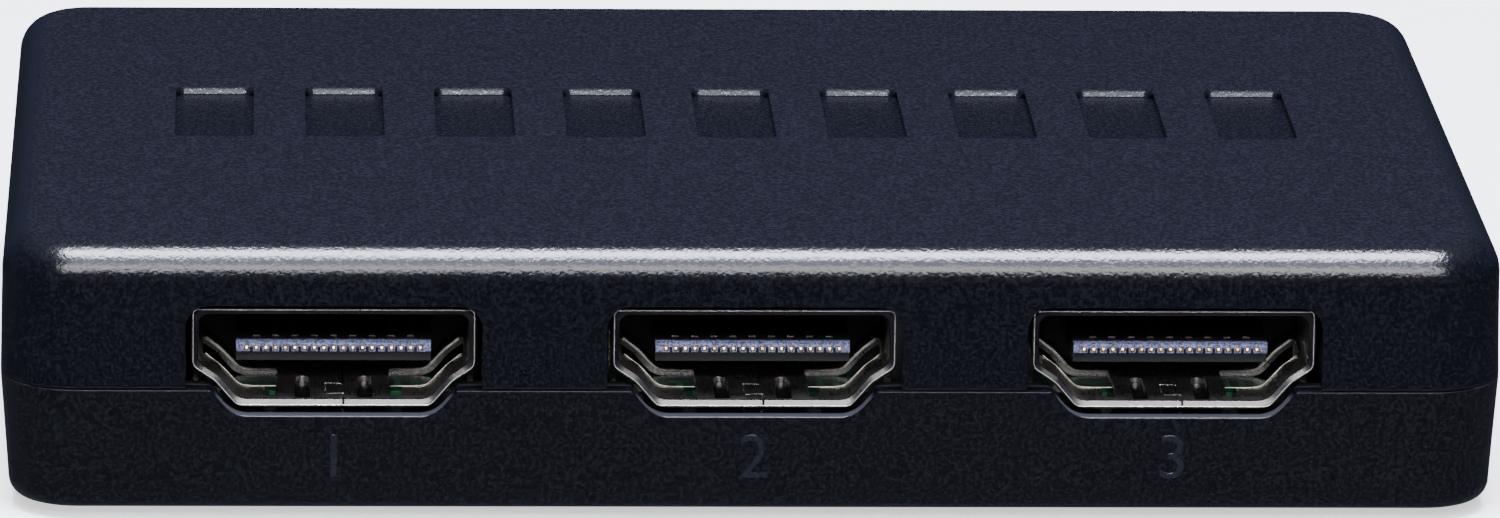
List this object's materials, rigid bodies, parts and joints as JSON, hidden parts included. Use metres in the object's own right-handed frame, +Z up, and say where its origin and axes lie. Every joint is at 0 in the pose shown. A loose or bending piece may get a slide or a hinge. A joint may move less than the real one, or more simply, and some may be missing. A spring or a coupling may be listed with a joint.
{
  "type": "hdmi switch box",
  "caption": "Low black plastic box that switches several full-size video inputs to one output, with a push button, lamps, a remote window and a power jack.",
  "frame": {"origin": "centre of the whole box's plan at the plane of the feet", "axes": "+Z up, +X to the right as seen from the input side, -Y out of the input side"},
  "size_m": [0.078, 0.0578, 0.0147],
  "materials": {
    "case": "fine matte grain",
    "button": "satin moulded",
    "rubber": "matte",
    "screw_steel": "zinc plated",
    "socket_metal": "bright nickel plate over pressed sheet",
    "socket_plastic": "glass filled moulding",
    "contact_gold": "gold plated",
    "board": "green solder mask",
    "chip_plastic": "moulded epoxy",
    "solder_tin": "tinned",
    "lamp": "clear epoxy",
    "ir_dark": "dark red tinted",
    "jack_plastic": "moulded",
    "switch_plastic": "moulded",
    "spring_metal": "nickel plated",
    "can_metal": "drawn can",
    "ceramic": "ceramic"
  },
  "bodies": {
    "case": {"top_cover": "case", "bottom_cover": "case", "rubber_feet": "rubber", "case_screws": "screw_steel", "circuit_board": "board", "switch_bracket": "spring_metal", "switch_body": "switch_plastic", "switch_dome": "spring_metal", "switch_terminals": "solder_tin", "led_1": "lamp", "led_2": "lamp", "led_3": "lamp", "led_leads": "solder_tin", "ir_window": "ir_dark", "ir_receiver": "chip_plastic", "ir_leads": "solder_tin", "dc_jack_housing": "jack_plastic", "dc_jack_pin": "spring_metal", "dc_jack_spring": "spring_metal", "switch_chip": "chip_plastic", "switch_chip_leads": "solder_tin", "microcontroller": "chip_plastic", "microcontroller_leads": "solder_tin", "memory_chips": "chip_plastic", "memory_chip_leads": "solder_tin", "voltage_regulator": "chip_plastic", "regulator_leads": "solder_tin", "crystal": "can_metal", "power_capacitor": "can_metal", "chip_capacitors": "ceramic", "chip_resistors": "chip_plastic", "input_1_shell": "socket_metal", "input_1_insulator": "socket_plastic", "input_1_contacts": "contact_gold", "input_2_shell": "socket_metal", "input_2_insulator": "socket_plastic", "input_2_contacts": "contact_gold", "input_3_shell": "socket_metal", "input_3_insulator": "socket_plastic", "input_3_contacts": "contact_gold", "output_shell": "socket_metal", "output_insulator": "socket_plastic", "output_contacts": "contact_gold"},
    "button": {"select_button": "button", "switch_plunger": "switch_plastic"}
  },
  "joints": [
    {"name": "button_press", "type": "slide", "parent": "case", "child": "button", "axis": [0, -1, 0], "range_m": [0, 0.00025], "stiffness_N_per_m": 6400}
  ]
}
